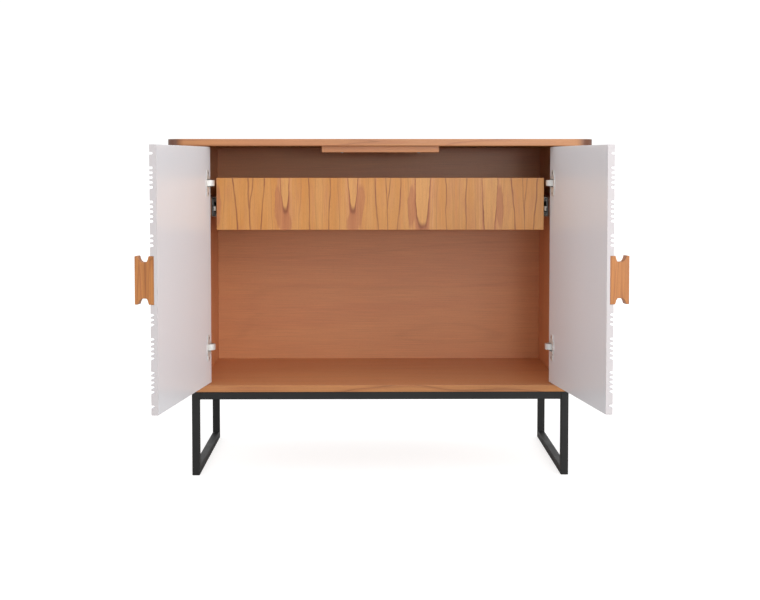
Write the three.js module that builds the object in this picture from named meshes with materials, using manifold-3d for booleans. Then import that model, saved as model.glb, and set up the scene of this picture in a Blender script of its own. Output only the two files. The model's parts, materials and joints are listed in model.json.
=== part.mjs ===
// Sideboard buffet: a veneered case on a square-tube sled base, with two fluted doors on concealed
// hinges and one inner drawer on ball-bearing runners. Millimetres, +Z up, front towards -Y.
// The doors stand open and the drawer is shut.
import * as THREE from 'three';
import { mergeVertices } from 'three/addons/utils/BufferGeometryUtils.js';
import Module from 'manifold-3d';

const wasm = await Module();
wasm.setup();

// Overall sizes. While the case is built, Y = 0 is the plane of the boards' front edges.
const HEIGHT = 792;
const BOARD = 16;
const TOP_WIDTH = 1000;
const TOP_DEPTH = 450;
const TOP_CORNER_RADIUS = 42;
const CASE_WIDTH = 888;
const CASE_DEPTH = 444;
const BACK_THICKNESS = 6;
const BACK_RECESS = 2;
const GAP = 0.3; // left between pieces that are set into each other

// Sled base
const TUBE = 18;
const TUBE_WALL = 1.5;
const BASE_HEIGHT = 198;
const BASE_DEPTH = 440;
const BASE_SETBACK = 2;

// Doors, inset between the case sides
const DOOR_THICKNESS = 15;
const DOOR_SETBACK = 2;
const DOOR_SIDE_GAP = 2.5;
const DOOR_MIDDLE_GAP = 2;
const DOOR_TOP_GAP = 2;
const DOOR_BOTTOM_GAP = 3;
const DOOR_OPEN_DEGREES = 98.2;
const DOOR_EDGE_RADIUS = 2;
const HINGE_STILE = 46; // plain width beside the hinges, left unfluted
const FLUTE_HEIGHT = 5.6;
const FLUTE_DEPTH = 7.5;
const FLUTE_PITCHES_PER_DOOR = 56;
const FLUTE_FIRST = 5.2; // in pitches from the middle of the door
const FLUTES_PER_BAND = 5;
const FLUTE_BAND_PERIOD = 7;
const FLUTE_LIMITS = [6.5, 27]; // the handle's zone and the door's ends stay plain

// Handles
const HANDLE_HEIGHT = 100;
const HANDLE_WIDTH = 24;
const HANDLE_DEPTH = 41;
const HANDLE_POCKET = 8;

// Concealed hinges, measured from the pivot of the closed left door
const PIVOT_INSET = 17; // from the door's hinge edge
const PIVOT_DEPTH = 6; // below the door's inner face
const HINGE_END_DISTANCE = 85; // from the door's top and bottom edges
const CUP_INSET = 21;
const CUP_RADIUS = 17.5;
const CUP_DEPTH = 11.5;
const CUP_CAVITY = { x: [-9.5, 17.5], floor: -4, halfHeight: 9.5 };
const FLANGE = { x: [-1, 21], height: 61, thickness: 1.6, radius: 5 };
const PIN_RADIUS = 1.5;
const ARM_HALF_HEIGHT = 8;
const ARM_THICKNESS = 2.4;
const ARM_EYE_RADIUS = 3.3;
const ARM_BODY = { depth: 12, y: [38, 95] };
const PLATE_THICKNESS = 3;

// Drawer
const DRAWER_WIDTH = 774;
const DRAWER_FRONT_Y = 38;
const DRAWER_FRONT_Z = [578, 701];
const DRAWER_BOX_Z = [584, 684];
const DRAWER_BOX_DEPTH = 360;
const DRAWER_WALL = 12;
const DRAWER_BOTTOM = 4;
const DRAWER_BOTTOM_RAISE = 6;

// Runners: three nested members of sheet steel
const RUNNER_THICKNESS = 12.7;
const RUNNER_LENGTH = 350;
const RUNNER_START = 56;
const RUNNER_CENTRE_Z = 632;
const RUNNER_SHEET = 1.2;
const BATTEN_Y = [42, 430];
const BATTEN_HEIGHT = 45;

// Derived planes of the case
const TOP_UNDERSIDE = HEIGHT - BOARD;
const SHELF_Z = BASE_HEIGHT + BOARD;
const CASE_HALF = CASE_WIDTH / 2;
const INNER_HALF = CASE_HALF - BOARD;
const DOOR_LOW = SHELF_Z + DOOR_BOTTOM_GAP;
const DOOR_HIGH = TOP_UNDERSIDE - DOOR_TOP_GAP;
const DOOR_MIDDLE = (DOOR_LOW + DOOR_HIGH) / 2;
const DOOR_WIDTH = INNER_HALF - DOOR_SIDE_GAP - DOOR_MIDDLE_GAP / 2;
const PIVOT_X = INNER_HALF - DOOR_SIDE_GAP - PIVOT_INSET;
const PIVOT_Y = DOOR_SETBACK + DOOR_THICKNESS - PIVOT_DEPTH;
const RUNNER_FACE = DRAWER_WIDTH / 2 + RUNNER_THICKNESS;
const HINGE_HEIGHTS = { upper: DOOR_HIGH - HINGE_END_DISTANCE, lower: DOOR_LOW + HINGE_END_DISTANCE };

// Finishes
const finish = (color, roughness, metalness = 0) =>
  new THREE.MeshStandardMaterial({ color, roughness, metalness, flatShading: true });
const veneer = () => finish(0xb98350, 0.45);
const drawerVeneer = () => finish(0xd59b5d, 0.4);
const drawerWood = () => finish(0xc89a6a, 0.55);
const battenWood = () => finish(0x7a5238, 0.6);
const handleWood = () => finish(0xb4784a, 0.5);
const lacquer = () => finish(0xe2dcd8, 0.35);
const blackSteel = () => finish(0x232322, 0.5, 0.3);
const nickel = () => finish(0xc9c8c4, 0.3, 0.9);
const zinc = () => finish(0x9a9894, 0.4, 0.9);
const whitePlastic = () => finish(0xf0ece4, 0.4);
const blackPlastic = () => finish(0x1c1c1c, 0.5);

// A closed geometry as a manifold-3d solid, and back.
function solidOf(geometry) {
  const bare = geometry.clone();
  bare.deleteAttribute('normal');
  bare.deleteAttribute('uv');
  const merged = mergeVertices(bare, 1e-4);
  return new wasm.Manifold(new wasm.Mesh({
    numProp: 3,
    vertProperties: merged.attributes.position.array,
    triVerts: new Uint32Array(merged.index.array),
  }));
}

function geometryOf(solid) {
  const { vertProperties, triVerts } = solid.getMesh();
  return new THREE.BufferGeometry()
    .setAttribute('position', new THREE.BufferAttribute(vertProperties, 3))
    .setIndex(new THREE.BufferAttribute(triVerts, 1));
}

const combine = (operation, first, rest) =>
  geometryOf(rest.reduce((solid, next) => solid[operation](solidOf(next)), solidOf(first)));
const cut = (body, ...tools) => combine('subtract', body, tools);
const join = (body, ...others) => combine('add', body, others);
const common = (body, ...others) => combine('intersect', body, others);

// Basic forms
function block([x0, x1], [y0, y1], [z0, z1]) {
  return new THREE.BoxGeometry(x1 - x0, y1 - y0, z1 - z0)
    .translate((x0 + x1) / 2, (y0 + y1) / 2, (z0 + z1) / 2);
}

const along = (shape, length, options = {}) =>
  new THREE.ExtrudeGeometry(shape, { depth: length, bevelEnabled: false, curveSegments: 8, ...options });
const onZ = (shape, [z0, z1], options) => along(shape, z1 - z0, options).translate(0, 0, z0);

// A shape drawn in (Y, Z) is extruded along X, and one drawn in (Z, X) along Y.
const AXES = [new THREE.Vector3(1, 0, 0), new THREE.Vector3(0, 1, 0), new THREE.Vector3(0, 0, 1)];
const TO_X = new THREE.Matrix4().makeBasis(AXES[1], AXES[2], AXES[0]);
const TO_Y = new THREE.Matrix4().makeBasis(AXES[2], AXES[0], AXES[1]);
const onX = (shape, [x0, x1]) => along(shape, x1 - x0).applyMatrix4(TO_X).translate(x0, 0, 0);
const onY = (shape, [y0, y1]) => along(shape, y1 - y0).applyMatrix4(TO_Y).translate(0, y0, 0);

const outline = (points) => new THREE.Shape(points.map(([a, b]) => new THREE.Vector2(a, b)));

function roundedRectangle([a0, a1], [b0, b1], radius) {
  const shape = new THREE.Shape();
  const quarter = Math.PI / 2;
  shape.absarc(a1 - radius, b0 + radius, radius, -quarter, 0);
  shape.absarc(a1 - radius, b1 - radius, radius, 0, quarter);
  shape.absarc(a0 + radius, b1 - radius, radius, quarter, 2 * quarter);
  shape.absarc(a0 + radius, b0 + radius, radius, 2 * quarter, 3 * quarter);
  return shape;
}

function rod(radius, length, segments = 20) {
  return new THREE.CylinderGeometry(radius, radius, length, segments).rotateX(Math.PI / 2);
}
const rodOnZ = (radius, x, y, [z0, z1], segments) =>
  rod(radius, z1 - z0, segments).translate(x, y, (z0 + z1) / 2);
const rodOnY = (radius, x, z, [y0, y1], segments) =>
  rod(radius, y1 - y0, segments).rotateX(Math.PI / 2).translate(x, (y0 + y1) / 2, z);
const rodOnX = (radius, y, z, [x0, x1], segments) =>
  rod(radius, x1 - x0, segments).rotateY(Math.PI / 2).translate((x0 + x1) / 2, y, z);

// The right-hand twin of a left-hand geometry.
function mirrored(geometry) {
  const twin = geometry.clone().scale(-1, 1, 1);
  const order = twin.index ? twin.index.array : Uint32Array.from(
    { length: twin.attributes.position.count }, (_, i) => i);
  for (let i = 0; i < order.length; i += 3) {
    [order[i + 1], order[i + 2]] = [order[i + 2], order[i + 1]];
  }
  return twin.setIndex(new THREE.BufferAttribute(order, 1));
}

const SIDES = [
  { name: 'left', sign: -1, handed: (geometry) => geometry },
  { name: 'right', sign: 1, handed: mirrored },
];

const sideboard = new THREE.Group();

function piece(name, geometry, material, parent = sideboard) {
  const mesh = new THREE.Mesh(geometry, material);
  mesh.name = name;
  parent.add(mesh);
  return mesh;
}

// Screws that stay in view under the case
const CLEAT_SCREW = { x: 90, y: 26, head: 4, headHeight: 2, bite: 10 };
const BASE_SCREW = { y: [100, 344], head: 4.5, headHeight: 3, bite: 12 };
const SCREW_RADIUS = 2;
const BASE_TUBE_X = CASE_HALF - TUBE / 2;

function screwFromBelow(x, y, seatZ, tipZ, { head, headHeight }) {
  const profile = [
    [0, -headHeight],
    [head * 0.8, -headHeight],
    [head, -headHeight / 2],
    [head, 0],
    [SCREW_RADIUS, 0],
    [SCREW_RADIUS, tipZ - seatZ - 2],
    [0, tipZ - seatZ],
  ].map(([r, z]) => new THREE.Vector2(r, z));
  return new THREE.LatheGeometry(profile, 16).rotateX(Math.PI / 2).translate(x, y, seatZ);
}

const screwHole = (x, y, [z0, z1]) => rodOnZ(SCREW_RADIUS + GAP, x, y, [z0, z1], 16);

function buildCase() {
  const topShape = roundedRectangle(
    [-TOP_WIDTH / 2, TOP_WIDTH / 2], [0, TOP_DEPTH], TOP_CORNER_RADIUS);
  const cleatHoleTop = TOP_UNDERSIDE + CLEAT_SCREW.bite + GAP;
  const cleatHoles = [-1, 1].map((s) =>
    screwHole(s * CLEAT_SCREW.x, CLEAT_SCREW.y, [TOP_UNDERSIDE - BOARD, cleatHoleTop]));
  piece('top_board', cut(onZ(topShape, [TOP_UNDERSIDE, HEIGHT]), ...cleatHoles), veneer());

  const boardHoles = [-1, 1].flatMap((s) => BASE_SCREW.y.map((y) =>
    screwHole(s * BASE_TUBE_X, y, [BASE_HEIGHT - 1, BASE_HEIGHT + BASE_SCREW.bite + GAP])));
  const bottom = block([-CASE_HALF, CASE_HALF], [0, CASE_DEPTH], [BASE_HEIGHT, SHELF_Z]);
  piece('bottom_board', cut(bottom, ...boardHoles), veneer());

  for (const { name, handed } of SIDES) {
    const panel = block([-CASE_HALF, -INNER_HALF], [DOOR_SETBACK, CASE_DEPTH], [SHELF_Z, TOP_UNDERSIDE]);
    piece(`${name}_side_panel`, handed(panel), veneer());
  }

  const backY = CASE_DEPTH - BACK_RECESS;
  piece('back_panel', block([-INNER_HALF, INNER_HALF], [backY - BACK_THICKNESS, backY],
    [SHELF_Z, TOP_UNDERSIDE]), veneer());

  const cleatFront = DOOR_SETBACK + DOOR_THICKNESS + GAP;
  const cleat = block([-137.5, 137.5], [cleatFront, cleatFront + 18], [TOP_UNDERSIDE - 15, TOP_UNDERSIDE]);
  piece('door_stop_cleat', cut(cleat, ...cleatHoles), veneer());
  for (const { name, sign } of SIDES) {
    piece(`${name}_cleat_screw`, screwFromBelow(sign * CLEAT_SCREW.x, CLEAT_SCREW.y, TOP_UNDERSIDE - 15,
      TOP_UNDERSIDE + CLEAT_SCREW.bite, CLEAT_SCREW), zinc());
  }
}

// A square tube lying along Y with both ends mitred, its long side at +Z. Each ring of four corners,
// outer and inner, is cut back along the tube by its distance below the long side.
function mitredTube(length) {
  const corners = [[-1, -1], [1, -1], [1, 1], [-1, 1]];
  const points = [];
  for (const end of [-1, 1]) {
    for (const half of [TUBE / 2, TUBE / 2 - TUBE_WALL]) {
      for (const [sx, sz] of corners) {
        points.push(sx * half, end * (length / 2 - (TUBE / 2 - sz * half)), sz * half);
      }
    }
  }
  const faces = [];
  const quad = (a, b, c, d) => faces.push(a, b, c, a, c, d);
  for (let i = 0; i < 4; i += 1) {
    const j = (i + 1) % 4;
    quad(i, i + 8, j + 8, j);
    quad(i + 4, j + 4, j + 12, i + 12);
    quad(i, j, j + 4, i + 4);
    quad(i + 8, i + 12, j + 12, j + 8);
  }
  return new THREE.BufferGeometry()
    .setAttribute('position', new THREE.BufferAttribute(new Float32Array(points), 3))
    .setIndex(faces);
}

function hollowTubeOnX([x0, x1], centreY, centreZ) {
  const half = TUBE / 2;
  const bore = half - TUBE_WALL;
  const section = roundedRectangle([-half, half], [-half, half], 1);
  section.holes.push(outline([[-bore, -bore], [-bore, bore], [bore, bore], [bore, -bore]]));
  return onX(section, [x0, x1]).translate(0, centreY, centreZ);
}

function buildBase() {
  const middleY = BASE_SETBACK + BASE_DEPTH / 2;
  const railZ = BASE_HEIGHT - TUBE / 2;
  for (const { name, sign } of SIDES) {
    const x = sign * BASE_TUBE_X;
    const holes = BASE_SCREW.y.map((y) => screwHole(x, y, [BASE_HEIGHT - TUBE - 1, BASE_HEIGHT + 1]));
    const topRail = mitredTube(BASE_DEPTH).translate(x, middleY, railZ);
    piece(`${name}_top_rail`, cut(topRail, ...holes), blackSteel());
    piece(`${name}_floor_rail`, mitredTube(BASE_DEPTH).rotateY(Math.PI)
      .translate(x, middleY, TUBE / 2), blackSteel());
    const leg = (turn, y) => mitredTube(BASE_HEIGHT).rotateX(turn).translate(x, y, BASE_HEIGHT / 2);
    piece(`${name}_front_leg`, leg(Math.PI / 2, BASE_SETBACK + TUBE / 2), blackSteel());
    piece(`${name}_back_leg`, leg(-Math.PI / 2, BASE_SETBACK + BASE_DEPTH - TUBE / 2), blackSteel());
    BASE_SCREW.y.forEach((y, i) => {
      piece(`${name}_${i ? 'back' : 'front'}_base_screw`, screwFromBelow(x, y, BASE_HEIGHT - TUBE,
        BASE_HEIGHT + BASE_SCREW.bite, BASE_SCREW), zinc());
    });
  }
  const span = [-(CASE_HALF - TUBE), CASE_HALF - TUBE];
  piece('front_rail', hollowTubeOnX(span, BASE_SETBACK + TUBE / 2, railZ), blackSteel());
  piece('back_rail', hollowTubeOnX(span, BASE_SETBACK + BASE_DEPTH - TUBE / 2, railZ), blackSteel());
}

// The door's outer face in (Y, Z), with a round-bottomed notch for each flute.
function flutedProfile(outerY, innerY) {
  const pitch = (DOOR_HIGH - DOOR_LOW) / FLUTE_PITCHES_PER_DOOR;
  const centres = [];
  for (let band = 0; band * FLUTE_BAND_PERIOD + FLUTE_FIRST < FLUTE_LIMITS[1]; band += 1) {
    for (let k = 0; k < FLUTES_PER_BAND; k += 1) {
      const place = FLUTE_FIRST + band * FLUTE_BAND_PERIOD + k;
      if (place > FLUTE_LIMITS[0] && place < FLUTE_LIMITS[1]) centres.push(place, -place);
    }
  }
  centres.sort((a, b) => b - a);
  const radius = FLUTE_HEIGHT / 2;
  const shape = new THREE.Shape();
  shape.moveTo(innerY, DOOR_LOW);
  shape.lineTo(innerY, DOOR_HIGH);
  shape.lineTo(outerY + 1, DOOR_HIGH);
  shape.lineTo(outerY, DOOR_HIGH - 1);
  for (const centre of centres) {
    const z = DOOR_MIDDLE + centre * pitch;
    shape.lineTo(outerY, z + radius);
    shape.absarc(outerY + FLUTE_DEPTH - radius, z, radius, Math.PI / 2, -Math.PI / 2, true);
    shape.lineTo(outerY, z - radius);
  }
  shape.lineTo(outerY, DOOR_LOW + 1);
  shape.lineTo(outerY + 1, DOOR_LOW);
  return shape;
}

// The plain strip beside the hinges, in plan, with its outer corner rounded to clear the case side.
function stileOutline([x0, x1], [y0, y1]) {
  const shape = new THREE.Shape();
  shape.moveTo(x1, y0);
  shape.lineTo(x1, y1);
  shape.lineTo(x0, y1);
  shape.lineTo(x0, y0 + DOOR_EDGE_RADIUS);
  shape.absarc(x0 + DOOR_EDGE_RADIUS, y0 + DOOR_EDGE_RADIUS, DOOR_EDGE_RADIUS, Math.PI, 1.5 * Math.PI);
  return shape;
}

// Door pieces are drawn for the left door, closed, with the pivot at X = Y = 0.
const DOOR_X = [-PIVOT_INSET, DOOR_WIDTH - PIVOT_INSET];
const DOOR_Y = [PIVOT_DEPTH - DOOR_THICKNESS, PIVOT_DEPTH];
const CUP_X = CUP_INSET - PIVOT_INSET;
const HANDLE_LOW = DOOR_MIDDLE - HANDLE_HEIGHT / 2;
const HANDLE_HIGH = DOOR_MIDDLE + HANDLE_HEIGHT / 2;

function doorPanel() {
  const stileEnd = DOOR_X[0] + HINGE_STILE;
  const fluted = along(flutedProfile(...DOOR_Y), DOOR_X[1] - stileEnd + 1, { curveSegments: 6 })
    .applyMatrix4(TO_X).translate(stileEnd - 1, 0, 0);
  const stile = onZ(stileOutline([DOOR_X[0], stileEnd], DOOR_Y), [DOOR_LOW, DOOR_HIGH]);
  const bores = Object.values(HINGE_HEIGHTS).map((z) =>
    rodOnY(CUP_RADIUS + GAP, CUP_X, z, [PIVOT_DEPTH - CUP_DEPTH - GAP, PIVOT_DEPTH + 1], 32));
  const pocket = block([DOOR_X[1] - HANDLE_WIDTH - GAP, DOOR_X[1] + 1],
    [DOOR_Y[0] - 1, DOOR_Y[0] + HANDLE_POCKET], [HANDLE_LOW - GAP, HANDLE_HIGH + GAP]);
  return cut(join(fluted, stile), ...bores, pocket);
}

// The handle is a block waisted by a finger groove above, below and behind: the common part of its
// end outline in (Y, Z) and its plan outline in (X, Y).
function handle() {
  const back = DOOR_Y[0] + HANDLE_POCKET - GAP;
  const front = back - HANDLE_DEPTH;
  const half = HANDLE_HEIGHT / 2;
  const end = new THREE.Shape();
  end.moveTo(front, -half);
  end.lineTo(front + 5.5, -half);
  end.bezierCurveTo(front + 8, -half + 3, front + 9, -half + 12.5, front + 17, -half + 12.5);
  end.lineTo(front + 23, -half + 12.5);
  end.bezierCurveTo(front + 27.5, -half + 12.5, front + 28, -half + 4, front + 30, -half);
  end.lineTo(back, -half);
  end.lineTo(back, half);
  end.lineTo(front + 30, half);
  end.bezierCurveTo(front + 28, half - 4, front + 27.5, half - 12.5, front + 23, half - 12.5);
  end.lineTo(front + 17, half - 12.5);
  end.bezierCurveTo(front + 9, half - 12.5, front + 8, half - 3, front + 5.5, half);
  end.lineTo(front, half);

  const [near, far] = [DOOR_X[1], DOOR_X[1] - HANDLE_WIDTH];
  const plan = new THREE.Shape();
  plan.moveTo(near, front);
  plan.lineTo(near - 2, front + 16);
  plan.lineTo(near, front + 31);
  plan.lineTo(near, back);
  plan.lineTo(far, back);
  plan.lineTo(far, front + 31);
  plan.bezierCurveTo(far + 8, front + 28, far + 8, front + 8, far, front + 5.5);
  plan.lineTo(far, front);
  return common(onX(end, [far - 1, near + 1]).translate(0, 0, DOOR_MIDDLE),
    onZ(plan, [HANDLE_LOW - 1, HANDLE_HIGH + 1]));
}

function hingeCup(z) {
  const face = PIVOT_DEPTH + GAP;
  const lip = face + FLANGE.thickness;
  const halfFlange = FLANGE.height / 2;
  const plate = onY(roundedRectangle([-halfFlange, halfFlange], FLANGE.x, FLANGE.radius), [face, lip]);
  const cup = rodOnY(CUP_RADIUS, CUP_X, 0, [PIVOT_DEPTH - CUP_DEPTH, lip], 32);
  const { x, floor, halfHeight } = CUP_CAVITY;
  const cavity = block(x, [floor, lip + 1], [-halfHeight, halfHeight]);
  return cut(join(cup, plate), cavity).translate(0, 0, z);
}

// The arm's cranked neck leaves the cup by its mouth and passes round the door's edge to the plate.
const NECK = [[0, 0], [11.3, 4.3], [17, 11], [16.5, 19], [11, 28], [2, 34], [-10, 40]];

function ribbon(points, width) {
  const path = points.map(([x, y]) => new THREE.Vector2(x, y));
  const offset = (i) => {
    const before = path[Math.max(i - 1, 0)];
    const after = path[Math.min(i + 1, path.length - 1)];
    const tangent = after.clone().sub(before).normalize();
    return new THREE.Vector2(-tangent.y, tangent.x).multiplyScalar(width / 2);
  };
  const left = path.map((p, i) => p.clone().add(offset(i)));
  const right = path.map((p, i) => p.clone().sub(offset(i)));
  return new THREE.Shape([...right, ...left.reverse()]);
}

function hingeArm(z) {
  const span = [z - ARM_HALF_HEIGHT, z + ARM_HALF_HEIGHT];
  const wall = PIVOT_X - INNER_HALF + PLATE_THICKNESS;
  const body = onZ(outline([
    [wall, ARM_BODY.y[0]],
    [wall + ARM_BODY.depth, ARM_BODY.y[0]],
    [wall + ARM_BODY.depth, ARM_BODY.y[1] - 14],
    [wall + 5, ARM_BODY.y[1]],
    [wall, ARM_BODY.y[1]],
  ]), span);
  const neck = onZ(ribbon(NECK, ARM_THICKNESS), span);
  const eye = rodOnZ(ARM_EYE_RADIUS, 0, 0, span, 24);
  const bore = rodOnZ(PIN_RADIUS + GAP, 0, 0, [span[0] - 1, span[1] + 1], 24);
  return cut(join(neck, eye, body), bore);
}

function mountingPlate(z) {
  const wall = PIVOT_X - INNER_HALF;
  const cross = outline([
    [44, -8], [58, -8], [58, -24], [76, -24], [76, -8], [90, -8],
    [90, 8], [76, 8], [76, 24], [58, 24], [58, 8], [44, 8],
  ]);
  return onX(cross, [wall, wall + PLATE_THICKNESS]).translate(0, 0, z);
}

function buildDoors() {
  for (const { name, sign, handed } of SIDES) {
    const fixed = new THREE.Group();
    fixed.position.set(sign * PIVOT_X, PIVOT_Y, 0);
    const door = fixed.clone();
    door.rotation.z = sign * THREE.MathUtils.degToRad(DOOR_OPEN_DEGREES);
    sideboard.add(fixed, door);

    piece(`${name}_door_panel`, handed(doorPanel()), lacquer(), door);
    piece(`${name}_handle`, handed(handle()), handleWood(), door);
    for (const [level, z] of Object.entries(HINGE_HEIGHTS)) {
      const { halfHeight } = CUP_CAVITY;
      const pin = rodOnZ(PIN_RADIUS, 0, 0, [z - halfHeight + GAP / 3, z + halfHeight - GAP / 3], 16);
      piece(`${name}_${level}_hinge_cup`, handed(hingeCup(z)), nickel(), door);
      piece(`${name}_${level}_hinge_pin`, handed(pin), zinc(), door);
      piece(`${name}_${level}_hinge_arm`, handed(hingeArm(z)), nickel(), fixed);
      piece(`${name}_${level}_hinge_plate`, handed(mountingPlate(z)), nickel(), fixed);
    }
  }
}

// One runner member, a channel in section. Distances are from the batten's face towards the drawer.
function channel([web0, web1], [lip0, lip1], halfHeight) {
  const t = RUNNER_SHEET;
  const opensToDrawer = web0 === lip0;
  const inside = opensToDrawer ? [web1, lip1 + 1] : [lip0 - 1, web0];
  const place = ([a, b]) => [a - RUNNER_FACE, b - RUNNER_FACE];
  const outer = block(place([lip0, lip1]), [0, RUNNER_LENGTH], [-halfHeight, halfHeight]);
  const hollow = block(place(inside), [-1, RUNNER_LENGTH + 1], [t - halfHeight, halfHeight - t]);
  return cut(outer, hollow).translate(0, RUNNER_START, RUNNER_CENTRE_Z);
}

const LEVER = { y: 291, length: 45, halfHeight: 3, x: [7, 9.4], boss: 2 };

function releaseLever(sign) {
  const shape = new THREE.Shape();
  const { length, halfHeight } = LEVER;
  shape.absarc(0, 0, 5.5, -0.5 * Math.PI, 0.5 * Math.PI);
  shape.lineTo(-12, halfHeight);
  shape.lineTo(-length + 10, halfHeight);
  shape.lineTo(-length, halfHeight - sign * 1.5);
  shape.lineTo(-length, -halfHeight - sign * 1.5);
  shape.lineTo(-length + 10, -halfHeight);
  shape.lineTo(-12, -halfHeight);
  const hole = new THREE.Path().absarc(0, 0, LEVER.boss + GAP, 0, 2 * Math.PI);
  shape.holes.push(hole);
  return onX(shape, LEVER.x.map((x) => x - RUNNER_FACE)).translate(0, LEVER.y, RUNNER_CENTRE_Z);
}

function buildRunners() {
  const web = RUNNER_SHEET;
  for (const { name, sign, handed } of SIDES) {
    const batten = block([-INNER_HALF, -RUNNER_FACE], BATTEN_Y,
      [RUNNER_CENTRE_Z - BATTEN_HEIGHT / 2, RUNNER_CENTRE_Z + BATTEN_HEIGHT / 2]);
    piece(`${name}_runner_batten`, handed(batten), battenWood());
    piece(`${name}_runner_outer`, handed(channel([0, web], [0, 10.7], 22.5)), zinc());
    piece(`${name}_runner_middle`, handed(channel([2.6, 2.6 + web], [2.6, 11], 18.4)), zinc());
    const buffer = block([4 - RUNNER_FACE, 9 - RUNNER_FACE], [RUNNER_START, RUNNER_START + 10],
      [RUNNER_CENTRE_Z - 9.5, RUNNER_CENTRE_Z + 1.5]);
    piece(`${name}_runner_buffer`, handed(buffer), whitePlastic());
    const boss = rodOnX(LEVER.boss, LEVER.y, RUNNER_CENTRE_Z,
      [6.6 - RUNNER_FACE, RUNNER_THICKNESS - web / 2 - RUNNER_FACE], 16);
    const inner = channel([RUNNER_THICKNESS - web, RUNNER_THICKNESS], [5, RUNNER_THICKNESS], 14.4);
    piece(`${name}_runner_inner`, handed(join(inner, boss)), zinc());
    piece(`${name}_release_lever`, handed(releaseLever(sign)), blackPlastic());
  }
}

function buildDrawer() {
  const half = DRAWER_WIDTH / 2;
  const boxY = DRAWER_FRONT_Y + BOARD;
  const boxBack = boxY + DRAWER_BOX_DEPTH;
  piece('drawer_front', block([-half, half], [DRAWER_FRONT_Y, boxY], DRAWER_FRONT_Z), drawerVeneer());
  for (const { name, handed } of SIDES) {
    const wall = block([-half, DRAWER_WALL - half], [boxY, boxBack], DRAWER_BOX_Z);
    piece(`drawer_${name}_side`, handed(wall), drawerWood());
  }
  const inside = half - DRAWER_WALL;
  const back = block([-inside, inside], [boxBack - DRAWER_WALL, boxBack], DRAWER_BOX_Z);
  piece('drawer_back', back, drawerWood());
  const floor = DRAWER_BOX_Z[0] + DRAWER_BOTTOM_RAISE;
  piece('drawer_bottom', block([-inside, inside], [boxY, boxBack - DRAWER_WALL],
    [floor, floor + DRAWER_BOTTOM]), drawerWood());
}

buildCase();
buildBase();
buildDoors();
buildRunners();
buildDrawer();

// The part's origin is the middle of the floor that it covers as it stands, with its doors open.
const footprint = new THREE.Box3().setFromObject(sideboard, true);
const middle = footprint.getCenter(new THREE.Vector3());
sideboard.children.forEach((child) => {
  child.position.x -= middle.x;
  child.position.y -= middle.y;
});

export default sideboard;
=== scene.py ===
"""Sideboard buffet with fluted doors: the looks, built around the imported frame. Metres, +Z up."""
import bmesh
import bpy
import json
import math
import random
from mathutils import Matrix, Vector


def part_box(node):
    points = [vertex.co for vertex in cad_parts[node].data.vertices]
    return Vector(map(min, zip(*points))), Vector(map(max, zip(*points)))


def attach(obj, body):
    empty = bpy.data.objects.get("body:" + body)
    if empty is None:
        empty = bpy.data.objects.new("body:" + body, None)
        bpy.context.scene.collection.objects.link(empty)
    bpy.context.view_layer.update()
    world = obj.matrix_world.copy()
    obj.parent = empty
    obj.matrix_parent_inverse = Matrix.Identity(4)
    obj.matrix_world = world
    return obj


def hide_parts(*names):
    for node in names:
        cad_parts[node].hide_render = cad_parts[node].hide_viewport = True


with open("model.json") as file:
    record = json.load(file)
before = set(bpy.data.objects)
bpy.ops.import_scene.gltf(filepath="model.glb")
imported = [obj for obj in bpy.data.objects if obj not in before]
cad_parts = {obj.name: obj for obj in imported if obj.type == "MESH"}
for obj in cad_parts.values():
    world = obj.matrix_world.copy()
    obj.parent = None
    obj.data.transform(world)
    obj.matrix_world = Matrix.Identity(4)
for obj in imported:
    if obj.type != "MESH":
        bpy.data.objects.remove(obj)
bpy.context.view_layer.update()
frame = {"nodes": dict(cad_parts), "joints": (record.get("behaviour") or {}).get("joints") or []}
MM = 0.001
SIDES = {"left": -1, "right": 1}
LEVELS = ("upper", "lower")
joints = {joint["name"]: joint for joint in frame["joints"]}


# ---- materials
def srgb(*channels):
    """A colour given as 0-255 display values, as linear RGBA."""
    linear = [(c / 255 / 12.92) if c <= 10 else ((c / 255 + 0.055) / 1.055) ** 2.4 for c in channels]
    return (*linear, 1)


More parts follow.
